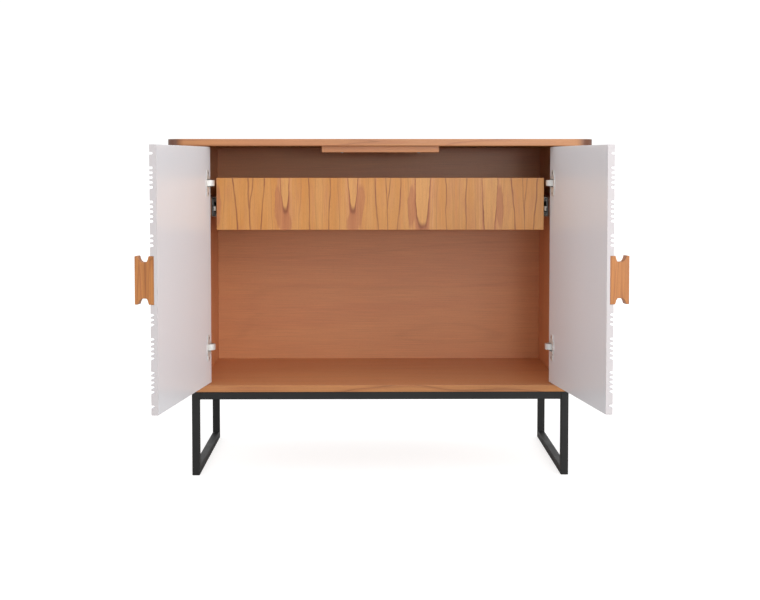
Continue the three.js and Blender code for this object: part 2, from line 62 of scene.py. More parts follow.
class Shader:
    """A material being wired up: each call makes one node, connects it and returns its output."""

    def __init__(self, name, **sockets):
        self.material = bpy.data.materials.new(name)
        self.material.use_nodes = True
        self.nodes = self.material.node_tree.nodes
        self.links = self.material.node_tree.links
        self.bsdf = self.nodes["Principled BSDF"]
        for key, value in sockets.items():
            self.feed(self.bsdf.inputs[key.replace("_", " ")], value)

    def feed(self, socket, value):
        if isinstance(value, bpy.types.NodeSocket):
            self.links.new(value, socket)
        else:
            socket.default_value = value

    def node(self, kind, inputs, output=0, **settings):
        node = self.nodes.new("ShaderNode" + kind)
        for key, value in settings.items():
            setattr(node, key, value)
        for key, value in inputs.items():
            self.feed(node.inputs[key], value)
        return node.outputs[output]

    def position(self):
        return self.node("TexCoord", {}, "Object")

    def grain(self):
        """(along, across, depth) in metres, as stored on each wooden piece."""
        return self.node("Attribute", {}, "Vector", attribute_name="grain")

    def per(self, vector, *lengths):
        """The vector measured in units of three lengths, or of one for every axis."""
        lengths = lengths if len(lengths) == 3 else lengths * 3
        units = [1 / length for length in lengths]
        return self.node("VectorMath", {0: vector, 1: units}, operation="MULTIPLY")

    def along_grain(self, along, across):
        """The grain's vector in units of a length along it and one across it."""
        return self.per(self.grain(), along, across, across)

    def noise(self, vector, detail=2.0, roughness=0.5, distortion=0.0):
        return self.node("TexNoise", {"Vector": vector, "Scale": 1.0, "Detail": detail,
                                      "Roughness": roughness, "Distortion": distortion})

    def math(self, operation, a, b=0.0, c=0.0):
        return self.node("Math", {0: a, 1: b, 2: c}, operation=operation)

    def times(self, a, b):
        return self.math("MULTIPLY", a, b)

    def plus(self, a, b):
        return self.math("ADD", a, b)

    def minus(self, a, b):
        return self.math("SUBTRACT", a, b)

    def over(self, a, b):
        return self.math("DIVIDE", a, b)

    def times_plus(self, a, b, c):
        return self.math("MULTIPLY_ADD", a, b, c)

    def fit(self, value, low, high, to_low=0.0, to_high=1.0):
        return self.node("MapRange", {"Value": value, "From Min": low, "From Max": high,
                                      "To Min": to_low, "To Max": to_high})

    def ramp(self, value, *stops):
        node = self.nodes.new("ShaderNodeValToRGB")
        elements = node.color_ramp.elements
        while len(elements) < len(stops):
            elements.new(0.5)
        for element, (place, colour) in zip(elements, stops):
            element.position = place
            element.color = colour
        self.feed(node.inputs[0], value)
        return node.outputs[0]

    def mix(self, factor, a, b, blend="MIX"):
        return self.node("Mix", {0: factor, 6: a, 7: b}, 2, data_type="RGBA", blend_type=blend)

    def tone(self, colour, brightness):
        """The colour with its brightness multiplied by a value."""
        grey = self.node("CombineColor", {0: brightness, 1: brightness, 2: brightness})
        return self.mix(1.0, colour, grey, "MULTIPLY")

    def bump(self, height, distance):
        return self.node("Bump", {"Height": height, "Distance": distance, "Strength": 1.0})

    def done(self, colour, roughness, normal):
        self.feed(self.bsdf.inputs["Base Color"], colour)
        self.feed(self.bsdf.inputs["Roughness"], roughness)
        self.feed(self.bsdf.inputs["Normal"], normal)
        return self.material


WOOD_RELIEF = 0.06 * MM  # depth of the pores of every wood


def fibres(s, colour, line, streak_size, pore_size, tones, pores, gloss):
    """The fine streaks and dark pores of a wood, of sizes along and across the grain, over a colour.
    Gives the colour, roughness and normal. tones and gloss are the ranges over the streaks."""
    streak = s.noise(s.along_grain(*streak_size), 4.0, 0.62)
    colour = s.tone(colour, s.fit(streak, 0.2, 0.8, *tones))
    pore = s.fit(s.noise(s.along_grain(*pore_size)), 0.6, 0.72)
    colour = s.mix(s.times(pore, pores), colour, line)
    height = s.minus(s.times(streak, 0.35), pore)
    rough = s.plus(s.fit(streak, 0.2, 0.8, *gloss), s.times(pore, 0.15))
    return colour, rough, s.bump(height, WOOD_RELIEF)


def wood(name, field, patch, line, red, *, rings, figure, contrast=1.0, streaks=0.16, pores=0.35,
         gloss=0.42, coat=0.12, ends=None):
    """Veneer or solid wood. Its growth rings are the level lines of a noise: narrow dark lines where
    the board cuts them steeply, and broad patches where it runs along them. figure is that noise's
    size along and across the grain. ends is a colour of painted shade, laid where the turned
    attribute is high, on faces that turn away sideways round a corner."""
    s = Shader(name, Coat_Weight=coat, Coat_Roughness=0.22)
    broad = s.noise(s.along_grain(*figure), 1.5, 0.45, 0.15)
    wobble = s.noise(s.along_grain(0.16, 0.011), 3.0, 0.6)
    level = s.plus(s.times(broad, rings), s.times(wobble, 0.16))
    rings_colour = s.ramp(s.math("FRACT", level), (0.0, line), (0.018, line), (0.05, patch),
                          (0.13, patch), (0.24, field), (0.86, field), (0.97, patch), (1.0, line))
    colour = s.mix(contrast, field, rings_colour)
    redness = s.noise(s.along_grain(0.5, 0.045))
    colour = s.mix(s.fit(redness, 0.42, 0.72, 0.0, 0.55), colour, red)
    colour, rough, normal = fibres(s, colour, line, (0.11, 0.0016), (0.007, 0.00042),
                                   (1 - streaks, 1 + streaks), pores, (gloss - 0.07, gloss + 0.07))
    # Painted shade: faces that turn sideways are darkened towards the ends colour.
    if ends:
        turned = s.node("Attribute", {}, "Fac", attribute_name="turned")
        colour = s.mix(s.fit(turned, 0.0, 0.45), colour, ends)
    return s.done(colour, rough, normal)


def lacquer(name, colour, warm):
    """Sprayed lacquer with a faint orange peel and slightly uneven sheen."""
    s = Shader(name, Coat_Weight=0.25, Coat_Roughness=0.18)
    p = s.position()
    cloud = s.noise(s.per(p, 0.2))
    shade = s.mix(cloud, colour, warm)
    speck = s.noise(s.per(p, 0.004), 1.0, 0.5)
    shade = s.tone(shade, s.fit(speck, 0.0, 1.0, 0.992, 1.008))
    peel = s.noise(s.per(p, 0.006), 0.0, 0.4)
    rough = s.fit(cloud, 0.0, 1.0, 0.26, 0.4)
    return s.done(shade, rough, s.bump(peel, 0.00003))


def powder_coat(name, colour, worn):
    """Matt powder coat: a fine pebbled skin, duller in patches, with small rubbed specks."""
    s = Shader(name, Specular_IOR_Level=0.45)
    p = s.position()
    pebble = s.noise(s.per(p, 0.0007), 2.0, 0.6)
    cloud = s.noise(s.per(p, 0.07), 4.0, 0.6)
    speck = s.fit(s.noise(s.per(p, 0.0022), 2.0, 0.7), 0.68, 0.8, 0.0, 0.5)
    shade = s.mix(speck, s.tone(colour, s.fit(cloud, 0.2, 0.8, 0.8, 1.3)), worn)
    rough = s.fit(cloud, 0.25, 0.75, 0.42, 0.58)
    return s.done(shade, rough, s.bump(pebble, 0.00009))


def metal(name, colour, dark, gloss, stretch=(1, 1, 1), metallic=1.0):
    """Plated steel: brushed or rolled along one axis, with cloudy dulling."""
    s = Shader(name, Metallic=metallic)
    p = s.position()
    brushed = s.noise(s.per(p, *[0.0006 * k for k in stretch]), 3.0, 0.6)
    cloud = s.noise(s.per(p, 0.012), 3.0, 0.55)
    shade = s.mix(s.fit(cloud, 0.45, 0.75, 0.0, 0.6), colour, dark)
    shade = s.tone(shade, s.fit(brushed, 0.2, 0.8, 0.93, 1.07))
    rough = s.plus(s.fit(cloud, 0.2, 0.8, gloss - 0.06, gloss + 0.1), s.times(brushed, 0.08))
    return s.done(shade, rough, s.bump(brushed, 0.00002))


def plastic(name, colour, faded):
    """Moulded plastic with a fine spark-eroded texture."""
    s = Shader(name)
    p = s.position()
    grit = s.noise(s.per(p, 0.0004), 2.0, 0.6)
    cloud = s.noise(s.per(p, 0.006))
    shade = s.mix(s.fit(cloud, 0.35, 0.7, 0.0, 0.6), colour, faded)
    return s.done(shade, s.fit(cloud, 0.2, 0.8, 0.35, 0.48), s.bump(grit, 0.00004))


LEAF_WIDTH = 0.162
FIRST_LEAF_JOIN = 0.0175  # X of one join between leaves
HEART_PLACE = 0.082  # from a join to the middle of a heart
HEART_HALF_WIDTH = 0.0098
HEART_TIP = 0.36  # height of a heart's lower end, as a share of the drawer front's
# A leaf's thin lines: slope, distance from the join at the top, width and strength
THIN_LINES = ((-0.0085, 0.0315, 0.0021, 0.9), (0.003, 0.1365, 0.0018, 0.8), (0.004, 0.0475, 0.0013, 0.3),
              (-0.003, 0.1180, 0.0013, 0.35), (0.002, 0.1525, 0.0012, 0.3))


def matched_veneer(name):
    """The drawer front's veneer: upright leaves, each the mirror image of the next. Each leaf has a pale
    tongue that tapers downwards, with brown growth rings round it, and a few thin dark lines."""
    s = Shader(name, Coat_Weight=0.12, Coat_Roughness=0.3)
    field, gold, pink = srgb(208, 145, 76), srgb(203, 134, 58), srgb(192, 122, 74)
    dark, pale, earth = srgb(140, 72, 30), srgb(213, 151, 82), srgb(176, 104, 58)
    low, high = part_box("drawer_front")
    g = s.grain()
    along = s.node("SeparateXYZ", {0: g}, 0)
    across = s.node("SeparateXYZ", {0: g}, 1)
    height = s.fit(along, low.z, high.z)
    wander = s.times_plus(s.noise(s.per(g, 0.09, 0.03, 1.0)), 0.011, -0.0055)
    trimmed = s.fit(across, -0.36, -0.3, 0.013, 0.0)
    place = s.plus(s.plus(across, trimmed), s.plus(wander, -FIRST_LEAF_JOIN))
    u = s.math("PINGPONG", place, LEAF_WIDTH)
    grown = s.fit(across, 0.02, 0.06)
    half_width = s.times_plus(grown, 0.0085, HEART_HALF_WIDTH)
    low_tip = s.times_plus(grown, -0.31, s.fit(across, 0.17, 0.2, HEART_TIP, HEART_TIP - 0.35))
    leaf = s.node("CombineXYZ", {0: along, 1: u, 2: s.times(across, 0.25)})
    ragged = s.times_plus(s.noise(s.per(leaf, 0.035, 0.006, 0.02), 3.0, 0.6), 0.004, -0.002)

    def line(where, width, strength):
        """A mask of a dark line at a distance from the leaf's join."""
        apart = s.math("ABSOLUTE", s.minus(u, where))
        return s.fit(apart, width * 0.35, width, strength, 0.0)

    aside = s.over(s.plus(s.minus(u, HEART_PLACE), ragged), half_width)
    flank = s.math("POWER", s.math("ABSOLUTE", aside), 3.2)
    ring = s.minus(s.times(flank, s.minus(1.0, low_tip)), s.minus(height, low_tip))
    heart = s.ramp(s.fit(ring, -0.8, 4.2),
                   (0.0, pale), (0.14, pale), (0.158, dark), (0.172, dark), (0.2, earth),
                   (0.3, srgb(206, 140, 84)), (0.42, field), (0.5, srgb(196, 128, 74)),
                   (0.54, srgb(214, 152, 92)), (0.8, field), (0.9, srgb(202, 136, 84)), (1.0, field))
    golden = s.noise(s.per(leaf, 0.22, 0.028, 0.12))
    ground = s.mix(s.fit(golden, 0.35, 0.65), field, gold)
    colour = s.mix(s.fit(ring, 2.2, 4.0, 1.0, 0.0), ground, heart)

    def patch(u_place, u_radius, h_place, h_radius):
        """A mask of an oval with torn edges."""
        torn = s.times_plus(s.noise(s.per(leaf, 0.04, 0.009, 0.03), 3.0, 0.65), 0.014, -0.007)
        du = s.over(s.plus(s.minus(u, u_place), torn), u_radius)
        dh = s.over(s.minus(height, h_place), h_radius)
        far = s.plus(s.times(du, du), s.times(dh, dh))
        return s.fit(far, 0.7, 1.15, 1.0, 0.0)

    beside = s.minus(HEART_PLACE - 0.0068, half_width)
    brown = s.math("MAXIMUM", patch(beside, 0.0095, 0.45, 0.42),
                   patch(HEART_PLACE + 0.001, 0.0145, 0.1, 0.25))
    brown = s.times(brown, s.fit(ring, 0.0, 0.08, 0.0, 0.8))
    cloudy = s.fit(s.noise(s.per(leaf, 0.05, 0.004, 0.05), 3.0, 0.6), 0.3, 0.7)
    colour = s.mix(brown, colour, s.mix(cloudy, earth, srgb(188, 117, 68)))
    rose = s.noise(s.per(leaf, 0.10, 0.012, 0.1), 3.0, 0.55)
    colour = s.mix(s.fit(rose, 0.52, 0.75, 0.0, 0.6), colour, pink)

    drawn = line(s.times(s.fit(height, 0.38, 1.0), 0.005), 0.0016, 0.8)
    lean = s.minus(1.0, height)
    for slope, top, width, strength in THIN_LINES:
        mask = line(s.times_plus(lean, slope, top), width, strength)
        drawn = s.math("MAXIMUM", drawn, mask)
    faint = s.noise(s.per(leaf, 0.05, 0.01, 0.05))
    drawn = s.times(drawn, s.fit(faint, 0.3, 0.6, 0.55, 1.0))
    colour = s.mix(drawn, colour, dark)
    return s.done(*fibres(s, colour, dark, (0.07, 0.0013), (0.006, 0.0004), (0.84, 1.14), 0.4,
                          (0.36, 0.48)))


GOLD = wood(
    "gold_veneer", srgb(214, 156, 94), srgb(194, 128, 80), srgb(150, 94, 54), srgb(200, 134, 86),
    rings=6.5, figure=(1.3, 0.15), contrast=0.85, gloss=0.48, coat=0.07)
EDGE = wood(
    "edge_band", srgb(193, 128, 73), srgb(172, 105, 60), srgb(124, 72, 36), srgb(186, 120, 80),
    rings=5.0, figure=(0.5, 0.05), contrast=0.6)
# The top's edge band, with painted shade where it turns away round the rounded corners.
TOP_EDGE = wood(
    "top_edge_band_painted_shade", srgb(196, 134, 82), srgb(180, 114, 70), srgb(130, 78, 42), srgb(196, 130, 94),
    rings=5.0, figure=(0.5, 0.05), contrast=0.6, ends=srgb(112, 66, 42))
INNER = wood(
    "inner_veneer", srgb(218, 150, 100), srgb(202, 132, 86), srgb(136, 78, 48), srgb(208, 136, 92),
    rings=6.0, figure=(1.6, 0.22), contrast=0.1, streaks=0.13, pores=0.3)
MATCHED = matched_veneer("matched_veneer")
DRAWER = wood(
    "drawer_wood", srgb(206, 164, 118), srgb(190, 142, 98), srgb(146, 100, 62), srgb(196, 146, 104),
    rings=9.0, figure=(0.9, 0.09), contrast=0.6, pores=0.2, gloss=0.5)
BATTEN = wood(
    "batten_wood", srgb(132, 88, 62), srgb(112, 70, 48), srgb(74, 44, 30), srgb(120, 74, 52),
    rings=8.0, figure=(0.7, 0.06), contrast=0.7, gloss=0.55)
HANDLE = wood(
    "handle_wood", srgb(192, 126, 66), srgb(172, 102, 54), srgb(126, 72, 38), srgb(184, 112, 66),
    rings=7.0, figure=(0.3, 0.02), contrast=0.5, streaks=0.2, gloss=0.4)
WHITE = lacquer("white_lacquer", srgb(242, 243, 248), srgb(239, 239, 243))
WHITE_EDGE = lacquer("white_edge_band", srgb(214, 208, 210), srgb(210, 204, 205))
BLACK = powder_coat("black_powder_coat", srgb(20, 20, 20), srgb(52, 50, 48))
NICKEL = metal("nickel_plate", srgb(232, 231, 228), srgb(212, 210, 207), 0.42, metallic=0.5)
ZINC = metal("zinc_plate", srgb(150, 148, 146), srgb(112, 110, 108), 0.33, (1, 12, 1))
SCREW = metal("zinc_screw", srgb(178, 177, 172), srgb(128, 127, 122), 0.34)
BUFFER = plastic("white_plastic", srgb(240, 236, 228), srgb(228, 221, 208))
LEVER = plastic("black_plastic", srgb(30, 30, 30), srgb(46, 45, 44))


# ---- mesh code
def linked(name, data):
    """A new object, in the scene."""
    obj = bpy.data.objects.new(name, data)
    bpy.context.collection.objects.link(obj)
    return obj


def circle(radius, count):
    """Points round a circle about the origin, counter-clockwise."""
    return [(radius * math.cos(a), radius * math.sin(a))
            for a in (2 * math.pi * k / count for k in range(count))]


def quarter_turn(steps):
    """Evenly spaced angles from 0 to a quarter turn."""
    return [k * math.pi / 2 / steps for k in range(steps + 1)]


def in_mm(points):
    """Points given in millimetres, in metres."""
    return [(a * MM, b * MM) for a, b in points]


def turned_to(direction):
    """The rotation from +Z to a direction."""
    return Vector((0, 0, 1)).rotation_difference(Vector(direction)).to_matrix().to_4x4()


def fillet(points, radius, steps=3):
    """A closed outline with its corners rounded. radius is one length, or one for each corner."""
    radii = radius if isinstance(radius, (list, tuple)) else [radius] * len(points)
    corners = [Vector(p) for p in points]
    rounded = []
    for i, corner in enumerate(corners):
        before = (corners[i - 1] - corner).normalized()
        after = (corners[(i + 1) % len(corners)] - corner).normalized()
        turn = before.angle(after)
        if radii[i] <= 0 or turn > math.pi - 1e-4:
            rounded.append(corner)
            continue
        reach = radii[i] / math.tan(turn / 2)
        centre = corner + (before + after).normalized() * radii[i] / math.sin(turn / 2)
        start = corner + before * reach - centre
        sweep = start.angle_signed(corner + after * reach - centre)
        for k in range(steps + 1):
            rounded.append(centre + Matrix.Rotation(-sweep * k / steps, 2) @ start)
    return rounded


def inset(outline, distance):
    """The counter-clockwise outline moved inwards by a small distance."""
    moved = []
    for i, point in enumerate(outline):
        before = (point - outline[i - 1]).normalized()
        after = (outline[(i + 1) % len(outline)] - point).normalized()
        normals = [Vector((-d.y, d.x)) for d in (before, after)]
        mitre = (normals[0] + normals[1]).normalized()
        moved.append(point + mitre * distance / max(mitre.dot(normals[0]), 0.35))
    return moved


AXIS_ORDER = {"X": (2, 0, 1), "Y": (1, 2, 0), "Z": (0, 1, 2)}


def skin(rings, cap=True):
    """A mesh of quads between successive rings of vertices, with an n-gon on each end."""
    bm = bmesh.new()
    made = [[bm.verts.new(point) for point in ring] for ring in rings]
    for low, high in zip(made, made[1:]):
        for i in range(len(low)):
            j = (i + 1) % len(low)
            bm.faces.new((low[i], low[j], high[j], high[i]))
    if cap:
        bm.faces.new(reversed(made[0]))
        bm.faces.new(made[-1])
    return bm


def prism(outline, span, axis="Z", edge=0.0005, steps=2):
    """An outline extruded over span along an axis, with rounded end edges. The outline is drawn in
    (X, Y) for Z, (Y, Z) for X and (Z, X) for Y, counter-clockwise, and its corners have to be rounder
    than edge, or the rounding folds over itself."""
    order = AXIS_ORDER[axis]
    rounds = [(0, 0)]
    if edge:
        rounds = [(edge * (1 - math.sin(t)), edge * (1 - math.cos(t))) for t in quarter_turn(steps)]
    stations = [(span[0] + rise, shrink) for shrink, rise in rounds]
    stations += [(span[1] - rise, shrink) for shrink, rise in reversed(rounds)]
    outline = [Vector(p) for p in outline]
    rings = []
    for place, shrink in stations:
        ring = inset(outline, shrink) if shrink else outline
        rings.append([Vector([(p.x, p.y, place)[k] for k in order]) for p in ring])
    return skin(rings)


def rectangle(low, high):
    return [(low[0], low[1]), (high[0], low[1]), (high[0], high[1]), (low[0], high[1])]


def slab(low, high, edge=0.001, steps=2):
    """A box with every edge rounded."""
    bm = bmesh.new()
    bmesh.ops.create_cube(bm, size=1)
    low, high = Vector(low), Vector(high)
    for vertex in bm.verts:
        vertex.co = Vector([low[k] if vertex.co[k] < 0 else high[k] for k in range(3)])
    bmesh.ops.bevel(bm, geom=bm.edges[:], offset=edge, segments=steps, profile=0.5, affect="EDGES")
    return bm


def lathe(profile, place=(0, 0, 0), direction=(0, 0, 1), segments=24):
    """A profile of (radius, height) pairs turned about an axis. It starts and ends on the axis."""
    rings = [[Vector((x, y, h)) for x, y in circle(r, segments)] for r, h in profile[1:-1]]
    bm = skin(rings, cap=False)
    ends = ((profile[0][1], 0, True), (profile[-1][1], len(rings) - 1, False))
    for apex_height, ring, flip in ends:
        apex = bm.verts.new((0, 0, apex_height))
        bm.verts.ensure_lookup_table()
        base = [bm.verts[ring * segments + k] for k in range(segments)]
        for k in range(segments):
            corners = (base[k], base[(k + 1) % segments], apex)
            bm.faces.new(reversed(corners) if flip else corners)
    bm.transform(Matrix.Translation(place) @ turned_to(direction))
    return bm


def joined(*parts):
    """Several meshes as the islands of one."""
    whole = bmesh.new()
    for part in parts:
        mesh = bpy.data.meshes.new("part")
        part.to_mesh(mesh)
        whole.from_mesh(mesh)
        part.free()
        bpy.data.meshes.remove(mesh)
    return whole


def carve(body, *cutters, operation="DIFFERENCE"):
    """body cut by, or merged with, the other meshes."""
    def stand_in(bm):
        mesh = bpy.data.meshes.new("stand_in")
        bmesh.ops.recalc_face_normals(bm, faces=bm.faces)
        bm.to_mesh(mesh)
        bm.free()
        return linked("stand_in", mesh)
    base = stand_in(body)
    tools = [stand_in(cutter) for cutter in cutters]
    for tool in tools:
        modifier = base.modifiers.new("cut", "BOOLEAN")
        modifier.operation = operation
        modifier.solver = "EXACT"
        modifier.object = tool
    graph = bpy.context.evaluated_depsgraph_get()
    mesh = bpy.data.meshes.new_from_object(base.evaluated_get(graph))
    result = bmesh.new()
    result.from_mesh(mesh)
    for obj in (base, *tools):
        old = obj.data
        bpy.data.objects.remove(obj)
        bpy.data.meshes.remove(old)
    bpy.data.meshes.remove(mesh)
    return result


def dominant(normal):
    return max(range(3), key=lambda k: abs(normal[k]))


DEPTH_SHARE = 0.35  # how fast the grain changes with depth in a board


def grain_by_axis(bm, first, second, offset):
    """Stores each corner's place along, across and below the grain. The grain runs along the first
    axis, and on faces square to that, along the second."""
    layer = bm.loops.layers.float_vector.new("grain")
    for face in bm.faces:
        depth = dominant(face.normal)
        along = first if depth != first else second
        across = 3 - depth - along
        for loop in face.loops:
            co = loop.vert.co
            loop[layer] = Vector((co[along], co[across], co[depth] * DEPTH_SHARE)) + offset


def piece(name, bm, materials, body, *, side="left", matrix=None, nodes=(),
          grain=None, loose_grain=True, paint=None, sharp=38):
    """Turns a mesh into a piece of the object. Pieces drawn for the left are mirrored for the right,
    grain is the pair of axes that the grain runs along, and paint picks a face's material. Each wooden
    piece is cut from its own part of the grain's pattern, unless loose_grain is off."""
    if side == "right":
        bm.transform(Matrix.Scale(-1, 4, (1, 0, 0)))
        bmesh.ops.reverse_faces(bm, faces=bm.faces)
    bm.normal_update()
    if grain:
        chance = random.Random(name)
        offset = Vector([chance.uniform(0, 40) for _ in range(3)])
        grain_by_axis(bm, *grain, offset if loose_grain else Vector())
    if paint:
        for face in bm.faces:
            face.material_index = paint(face)
    mesh = bpy.data.meshes.new(name)
    bm.to_mesh(mesh)
    bm.free()
    for material in materials if isinstance(materials, (list, tuple)) else [materials]:
        mesh.materials.append(material)
    mesh.shade_smooth()
    mesh.set_sharp_from_angle(angle=math.radians(sharp))
    obj = linked(name, mesh)
    if matrix:
        obj.matrix_world = matrix
    weighted = obj.modifiers.new("weighted_normals", "WEIGHTED_NORMAL")
    weighted.keep_sharp = True
    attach(obj, body)
    if nodes:
        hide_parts(*nodes)


def cross_recess(radius, depth):
    """The cutter for a screw head's cross recess, tapering into the head, with its mouth at height 0."""
    arm, half = radius * 0.62, radius * 0.13
    outline = [(arm, -half), (arm, half), (half, half), (half, arm), (-half, arm), (-half, half),
               (-arm, half), (-arm, -half), (-half, -half), (-half, -arm), (half, -arm), (half, -half)]
    tapers = ((0.45, -depth), (1.0, depth * 0.4))
    return skin([[Vector((x * k, y * k, z)) for x, y in outline] for k, z in tapers])


def screw_head_mesh(radius, height, style):
    """A cross-recessed head standing on height 0: pan is round-topped, and flat is countersunk."""
    if style == "pan":
        arc = [(radius * math.cos(t), height * (0.3 + 0.7 * math.sin(t))) for t in quarter_turn(6)[:-1]]
        profile = [(0, 0), (radius * 0.97, 0), *arc, (0, height)]
    else:
        profile = [(0, -height), (radius * 0.5, -height), (radius * 0.96, -0.25 * MM),
                   (radius, -0.1 * MM), (radius * 0.95, 0), (0, 0)]
    top = height if style == "pan" else 0
    recess = cross_recess(radius, height * 0.75)
    recess.transform(Matrix.Translation((0, 0, top)))
    return carve(lathe(profile), recess)


# Screw heads: radius, height and style
PLATE_HEAD = (3.6 * MM, 1.9 * MM, "pan")
FLUSH_HEAD = (3.4 * MM, 1.8 * MM, "flat")
BASE_HEAD = (4.4 * MM, 2.6 * MM, "pan")
CLEAT_HEAD = (3.9 * MM, 2.0 * MM, "pan")
HEADS = {kind: screw_head_mesh(*kind) for kind in (PLATE_HEAD, FLUSH_HEAD, BASE_HEAD, CLEAT_HEAD)}


def screw_head(place, direction, kind, twist):
    """A copy of a screw head on a surface at place, facing in a direction."""
    bm = HEADS[kind].copy()
    bm.transform(Matrix.Translation(place) @ turned_to(direction) @ Matrix.Rotation(twist, 4, "Z"))
    return bm


# ---- case
FACES_AXIS = 0.75  # a face looks along an axis when its normal's part along it is larger
TOP_CORNER_RADIUS = 42 * MM
TOP_ARRIS = 1.4 * MM
TOP_GRAIN_START = (7, 3, 2.2)  # where the top's faces lie in the grain's pattern
BAND_GRAIN_START = (11, 5.1)  # and where its edge band does, along and below


def top_board():
    """The top board, with its edge band's grain running round the outline, and painted shade stored
    where the band turns sideways round the rounded corners.
    """
    low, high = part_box("top_board")
    outline = fillet(rectangle(low, high), TOP_CORNER_RADIUS, 12)
    bm = prism([p.to_tuple() for p in outline], (low.z, high.z), "Z", TOP_ARRIS, 3)
    bm.normal_update()
    layer = bm.loops.layers.float_vector.new("grain")
    turned = bm.loops.layers.float.new("turned")
    lengths = [0.0]
    for a, b in zip(outline, outline[1:] + outline[:1]):
        lengths.append(lengths[-1] + (b - a).length)
    ring = len(outline)
    bm.verts.index_update()
    for face in bm.faces:
        flat = abs(face.normal.z) > FACES_AXIS
        places = [loop.vert.index % ring for loop in face.loops]
        wraps = max(places) == ring - 1 and min(places) == 0 and not flat
        for loop, place in zip(face.loops, places):
            co = loop.vert.co
            run = lengths[ring] if wraps and place == 0 else lengths[place]
            loop[layer] = (co.x + TOP_GRAIN_START[0], co.y + TOP_GRAIN_START[1], TOP_GRAIN_START[2])
            if not flat:
                loop[layer] = (run + BAND_GRAIN_START[0], co.z, BAND_GRAIN_START[1])
            # Painted shade: how far the edge band faces sideways, which darkens it round the corners.
            loop[turned] = 0 if flat else abs(loop.vert.normal.x)
        face.material_index = 0 if flat else 1
    piece("top_board_veneered", bm, [GOLD, TOP_EDGE], "cabinet", nodes=["top_board"])


def board(node, along, second, materials, paint=None, edge=0.8 * MM, body="cabinet",
          loose_grain=True):
    """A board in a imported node's box. along and second are the axes that its grain runs along."""
    low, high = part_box(node)
    piece(f"{node}_veneered", slab(low, high, edge), materials, body, nodes=[node],
          grain=(along, second), loose_grain=loose_grain, paint=paint)


def side_panel_paint(sign):
    """Paint for a side panel: 0 for its inner face, 1 for its outer face and 2 for its edges."""
    def paint(face):
        if abs(face.normal.x) < FACES_AXIS:
            return 2
        return 0 if face.normal.x * sign < 0 else 1
    return paint


def face_and_edges(axis):
    """Paint for a board square to an axis: 0 for its two faces and 1 for its edges."""
    return lambda face: 0 if abs(face.normal[axis]) > FACES_AXIS else 1


BACK_SCREW_MARGIN = 9 * MM
BACK_SCREW_ROW_X = (-0.405, -0.2, 0, 0.2, 0.405)
BACK_SCREW_COLUMN_Z = (0.36, 0.5, 0.63)


def back_screws():
    """Countersunk screws round the back panel."""
    low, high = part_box("back_panel")
    margin = BACK_SCREW_MARGIN
    spots = [(x, z) for x in BACK_SCREW_ROW_X for z in (low.z + margin, high.z - margin)]
    spots += [(x, z) for x in (low.x + margin, high.x - margin) for z in BACK_SCREW_COLUMN_Z]
    heads = [screw_head((x, high.y - 0.1 * MM, z), (0, 1, 0), FLUSH_HEAD, i * 0.7)
             for i, (x, z) in enumerate(spots)]
    piece("back_panel_screws", joined(*heads), SCREW, "cabinet")


def screw_from_below(node, seat, kind, twist):
    """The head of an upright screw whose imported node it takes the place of."""
    low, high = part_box(node)
    centre = (low + high) / 2
    head = screw_head((centre.x, centre.y, seat), (0, 0, -1), kind, twist)
    piece(f"{node}_head", head, SCREW, "cabinet", nodes=[node])


def build_case():
    top_board()
    board("bottom_board", 0, 1, (INNER, EDGE), face_and_edges(2))
    for side, sign in SIDES.items():
        board(f"{side}_side_panel", 2, 1, (INNER, GOLD, EDGE), side_panel_paint(sign))
    board("back_panel", 0, 2, (INNER,), edge=0.4 * MM)
    board("door_stop_cleat", 0, 1, (EDGE,), edge=0.9 * MM)
    back_screws()
    for side in SIDES:
        board(f"{side}_runner_batten", 1, 2, (BATTEN,))
        screw_from_below(f"{side}_cleat_screw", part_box("door_stop_cleat")[0].z, CLEAT_HEAD, 0.4)


# ---- base
TUBE_HALF = 9 * MM
TUBE_ROUND = 1.6 * MM
WELD_LEG = 3.2 * MM
WELD_BITE = 0.2 * MM  # how far a weld runs into the tubes
WELD_END_GAP = 1.2 * MM
WELD_STEPS = 25


def tube(node, axis, mitred):
    """A length of square tube. Its mitred ends are cut back by the distance below its long side."""
    low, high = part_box(node)
    centre = (low + high) / 2
    order = AXIS_ORDER[axis]
    run = "XYZ".index(axis)
    outline = fillet(rectangle((-TUBE_HALF, -TUBE_HALF), (TUBE_HALF, TUBE_HALF)), TUBE_ROUND, 4)
    length = (high[run] - low[run]) / 2
    rings = []
    for end in (-1, 1):
        ring = []
        for p in outline:
            local = Vector([(p.x, p.y, 0)[k] for k in order])
            back = TUBE_HALF - local.dot(mitred) if mitred else 0
            local[run] = end * (length - back)
            ring.append(centre + local)
        rings.append(ring)
    bm = skin(rings)
    piece(f"{node}_coated", bm, BLACK, "cabinet", nodes=[node])


def weld(side, sign, rail):
    """The fillet weld under a cross rail, where it butts against a side frame: a hollow triangle drawn
    along the corner, unevenly swollen."""
    low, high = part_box(rail)
    leg = WELD_LEG
    hollow = [(leg - leg * math.cos(t), -leg + leg * math.sin(t)) for t in quarter_turn(5)]
    outline = [(-WELD_BITE, WELD_BITE), (-WELD_BITE, -leg), *hollow, (leg, WELD_BITE)]
    edge_x = low.x if sign < 0 else high.x
    length = high.y - low.y - 2 * WELD_END_GAP
    stations = []
    chance = random.Random(f"{rail}{side}")
    for k in range(WELD_STEPS + 1):
        y = low.y + WELD_END_GAP + length * k / WELD_STEPS
        swell = 1 + 0.05 * math.sin(k * 2.4) + chance.uniform(-0.03, 0.03)
        stations.append([Vector((edge_x - sign * x * swell, y, low.z + z * swell)) for x, z in outline])
    bm = skin(stations)
    bmesh.ops.recalc_face_normals(bm, faces=bm.faces)
    piece(f"{side}_{rail}_weld", bm, BLACK, "cabinet", sharp=60)


